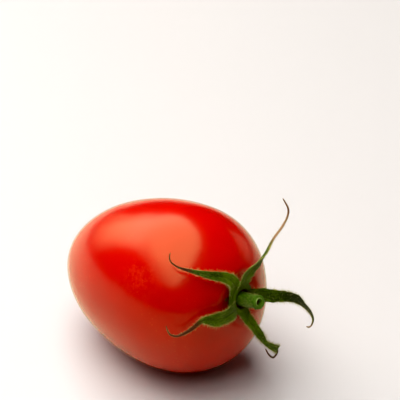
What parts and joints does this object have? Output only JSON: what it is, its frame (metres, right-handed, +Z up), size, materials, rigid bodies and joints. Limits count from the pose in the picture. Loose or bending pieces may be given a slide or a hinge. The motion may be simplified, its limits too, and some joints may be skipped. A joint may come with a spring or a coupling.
{
  "type": "tomato",
  "caption": "Ripe plum tomato lying on its side on a small flat spot, with a star-shaped green calyx of curling sepals and a short cut stem.",
  "frame": {"origin": "middle of the small flat spot that the fruit rests on", "axes": "+Z up; +X level, under the fruit's long axis, towards the stem end"},
  "size_m": [0.0752, 0.0495, 0.0565],
  "materials": {
    "red_skin": "smooth, waxy, glossy skin",
    "calyx_green": "matt, finely hairy leaf",
    "stem_green": "matt green stem"
  },
  "bodies": {
    "root": {"fruit": "red_skin", "calyx": "calyx_green", "stem": "stem_green"}
  },
  "joints": []
}
